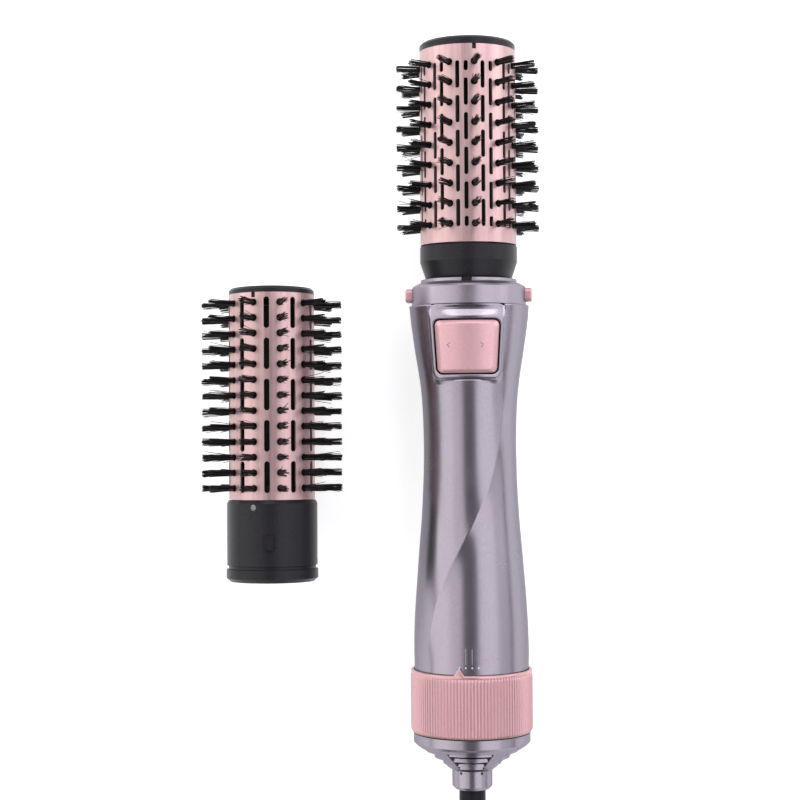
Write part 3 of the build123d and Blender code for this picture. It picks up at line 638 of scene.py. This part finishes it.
def ribbon(name, start, end, material):
    """Thin printed stroke on the rocker's face."""
    start, end = np.array(start), np.array(end)
    across = np.array([-(end - start)[1], (end - start)[0]])
    across = across / np.hypot(*across) * ARROW_HALF_WIDTH
    steps = 5
    points = []
    for t in np.linspace(0, 1, steps):
        for side in (-1, 1):
            x, z = start + (end - start) * t + across * side
            points.append((x, -float(face_out(np.array(x), z)) - MARK_RISE, z))
    piece(name, points, grid_faces(steps, 2, False), GRIP, "rocker", material)


# ---- selector ring and the marks above it ----
RIBS = 114
# Ring's outside from its top to its foot: height, radius between the ribs, and the ribs' rise.
RING_SECTION = ((49.7, 24.0, 0), (49.8, 24.5, 0), (49.7, 24.95, 0), (49.4, 25.2, 0),
                (48.9, 25.25, 0), (48.4, 25.1, 0), (48.1, 24.8, 0.2), (47.8, 24.75, 0.5),
                (46.6, 24.75, 0.6), (36, 24.75, 0.6), (25.8, 24.75, 0.6), (25.0, 24.7, 0.55),
                (24.4, 24.5, 0.45), (23.95, 24.3, 0.3), (23.8, 24.0, 0.1), (23.8, 22.95, 0))
POINTER_FOOT = 49.6
POINTER_OUTLINE = [(-2.3, 48.6), (-2.2, 49.6), (-0.25, 52.6), (0.25, 52.6), (2.2, 49.6),
                   (2.3, 48.6)]
POINTER_LAYERS = ((1.0, 24.0), (1.0, 24.9), (0.93, 25.12), (0.8, 25.2))   # scale, radius
SETTINGS = (-9.45, -3.15, 3.15, 9.45)
SETTING_HEIGHT = 52.8
STROKE_FOOT, STROKE_TOP, STROKE_HALF = 54.0, 60.5, 0.42   # heights, and half its width in degrees
MARK_RISE = 0.015
NOTCH_TURN, NOTCH_HEIGHT = 31, 7.2


def make_ring(material, mark, dim):
    """Ribbed selector ring with its pointer, and the setting marks on the grip above it."""
    columns = RIBS * 8
    theta = np.arange(columns) * 360 / columns
    rib = np.sqrt(0.5 + 0.5 * np.cos(np.radians(theta) * RIBS))
    rows = np.array([on_round(theta, radius + rise * rib, height)
                     for height, radius, rise in RING_SECTION])
    made = grid_piece("selector", rows, True, GRIP, "selector", material)
    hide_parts("selector_ring")
    pointer = [(x * scale, -out, POINTER_FOOT + (z - POINTER_FOOT) * scale)
               for scale, out in POINTER_LAYERS for x, z in POINTER_OUTLINE]
    corners = len(POINTER_OUTLINE)
    faces = grid_faces(len(POINTER_LAYERS), corners, True)
    faces.append(tuple(range(len(pointer) - corners, len(pointer))))
    turned = GRIP @ Matrix.Rotation(math.radians(SETTINGS[0]), 4, "Z")
    piece("selector_pointer", pointer, faces, turned, "selector", material)
    for k in range(4):
        dot(f"ring_dot_{k}", -9.0 + 3.1 * k, 48.0, 25.1, 0.16, mark, "selector")
    radius = float(grip_radius(np.array(SETTING_HEIGHT)))
    for k, turn in enumerate(SETTINGS):
        dot(f"setting_dot_{k}", turn, SETTING_HEIGHT, radius, 0.4, mark, "handle")
    for k, turn in enumerate(SETTINGS[1:3]):
        theta = turn + np.array([-STROKE_HALF, STROKE_HALF])
        rows = np.array([on_round(theta, grip_radius(z) + 2 * MARK_RISE, z)
                         for z in np.linspace(STROKE_FOOT, STROKE_TOP, 8)])
        grid_piece(f"setting_stroke_{k}", rows, False, GRIP, "handle", dim)


def make_neck_notches(material):
    """Two small dark notches at the top of the swivel neck."""
    low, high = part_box("swivel_neck")
    radius = (high.x - low.x) / 2 / MM
    for side, sign in (("left", -1), ("right", 1)):
        dot(f"neck_notch_{side}", sign * NOTCH_TURN, NOTCH_HEIGHT, radius, 0.6, material, "handle")


def dot(name, turn, height, radius, size, material, body):
    """Small raised round mark on a curved surface."""
    corners = 12
    points = [(0, -radius - 4 * MARK_RISE, height)]
    for k in range(corners):
        angle = 2 * math.pi * k / corners
        x = size * math.cos(angle)
        out = math.sqrt(radius**2 - x * x) + MARK_RISE
        points.append((x, -out, height + size * math.sin(angle)))
    faces = [(0, 1 + k, 1 + (k + 1) % corners) for k in range(corners)]
    turned = GRIP @ Matrix.Rotation(math.radians(turn), 4, "Z")
    piece(name, points, faces, turned, body, material)


# ---- carried-over CAD nodes ----
FINISH = {
    "collar": ["top_collar"],
    "grip": ["rear_shell", "rear_cover", "swivel_neck"],
    "pink": ["release_button_left", "release_button_right"],
    "barrel": ["barrel_tube", "spare_barrel_tube"],
    "black": ["head_base", "tip_cap", "drive_hub", "spare_head_base", "spare_tip_cap",
              "spare_drive_hub", "swivel_core", "rocker_switches", "selector_switch",
              "inlet_filter"],
    "rubber": ["strain_relief", "plug_body"],
    "steel": ["fan_motor", "gear_motor", "heat_shield", "thermal_cutout", "latch_ring",
              "drive_spindle"],
    "dark_steel": ["case_screws", "heater_wire", "spare_base_screw"],
    "nickel": ["plug_pins"],
    "white": ["motor_mount", "chassis", "gearbox", "fan_impeller", "head_bearing",
              "spare_head_bearing"],
    "mica": ["heater_boards"],
    "board": ["control_board"],
}


def finish_nodes(materials):
    for finish, names in FINISH.items():
        for name in names:
            node = frame["nodes"][name]
            node.data.materials.clear()
            node.data.materials.append(materials[finish])


def main():
    make_camera()
    bpy.context.scene.view_settings.view_transform = "Standard"
    materials = make_materials()
    make_cord(materials["rubber"])
    finish_nodes(materials)
    make_tufts(materials["nylon"])
    make_front_shell(materials["grip"])
    make_bezel(materials["grip"])
    make_rocker(materials["pink"], materials["dark_steel"])
    make_ring(materials["pink_ring"], materials["mark"], materials["mark_dim"])
    make_neck_notches(materials["black"])
    make_floor()
    make_lights()


main()
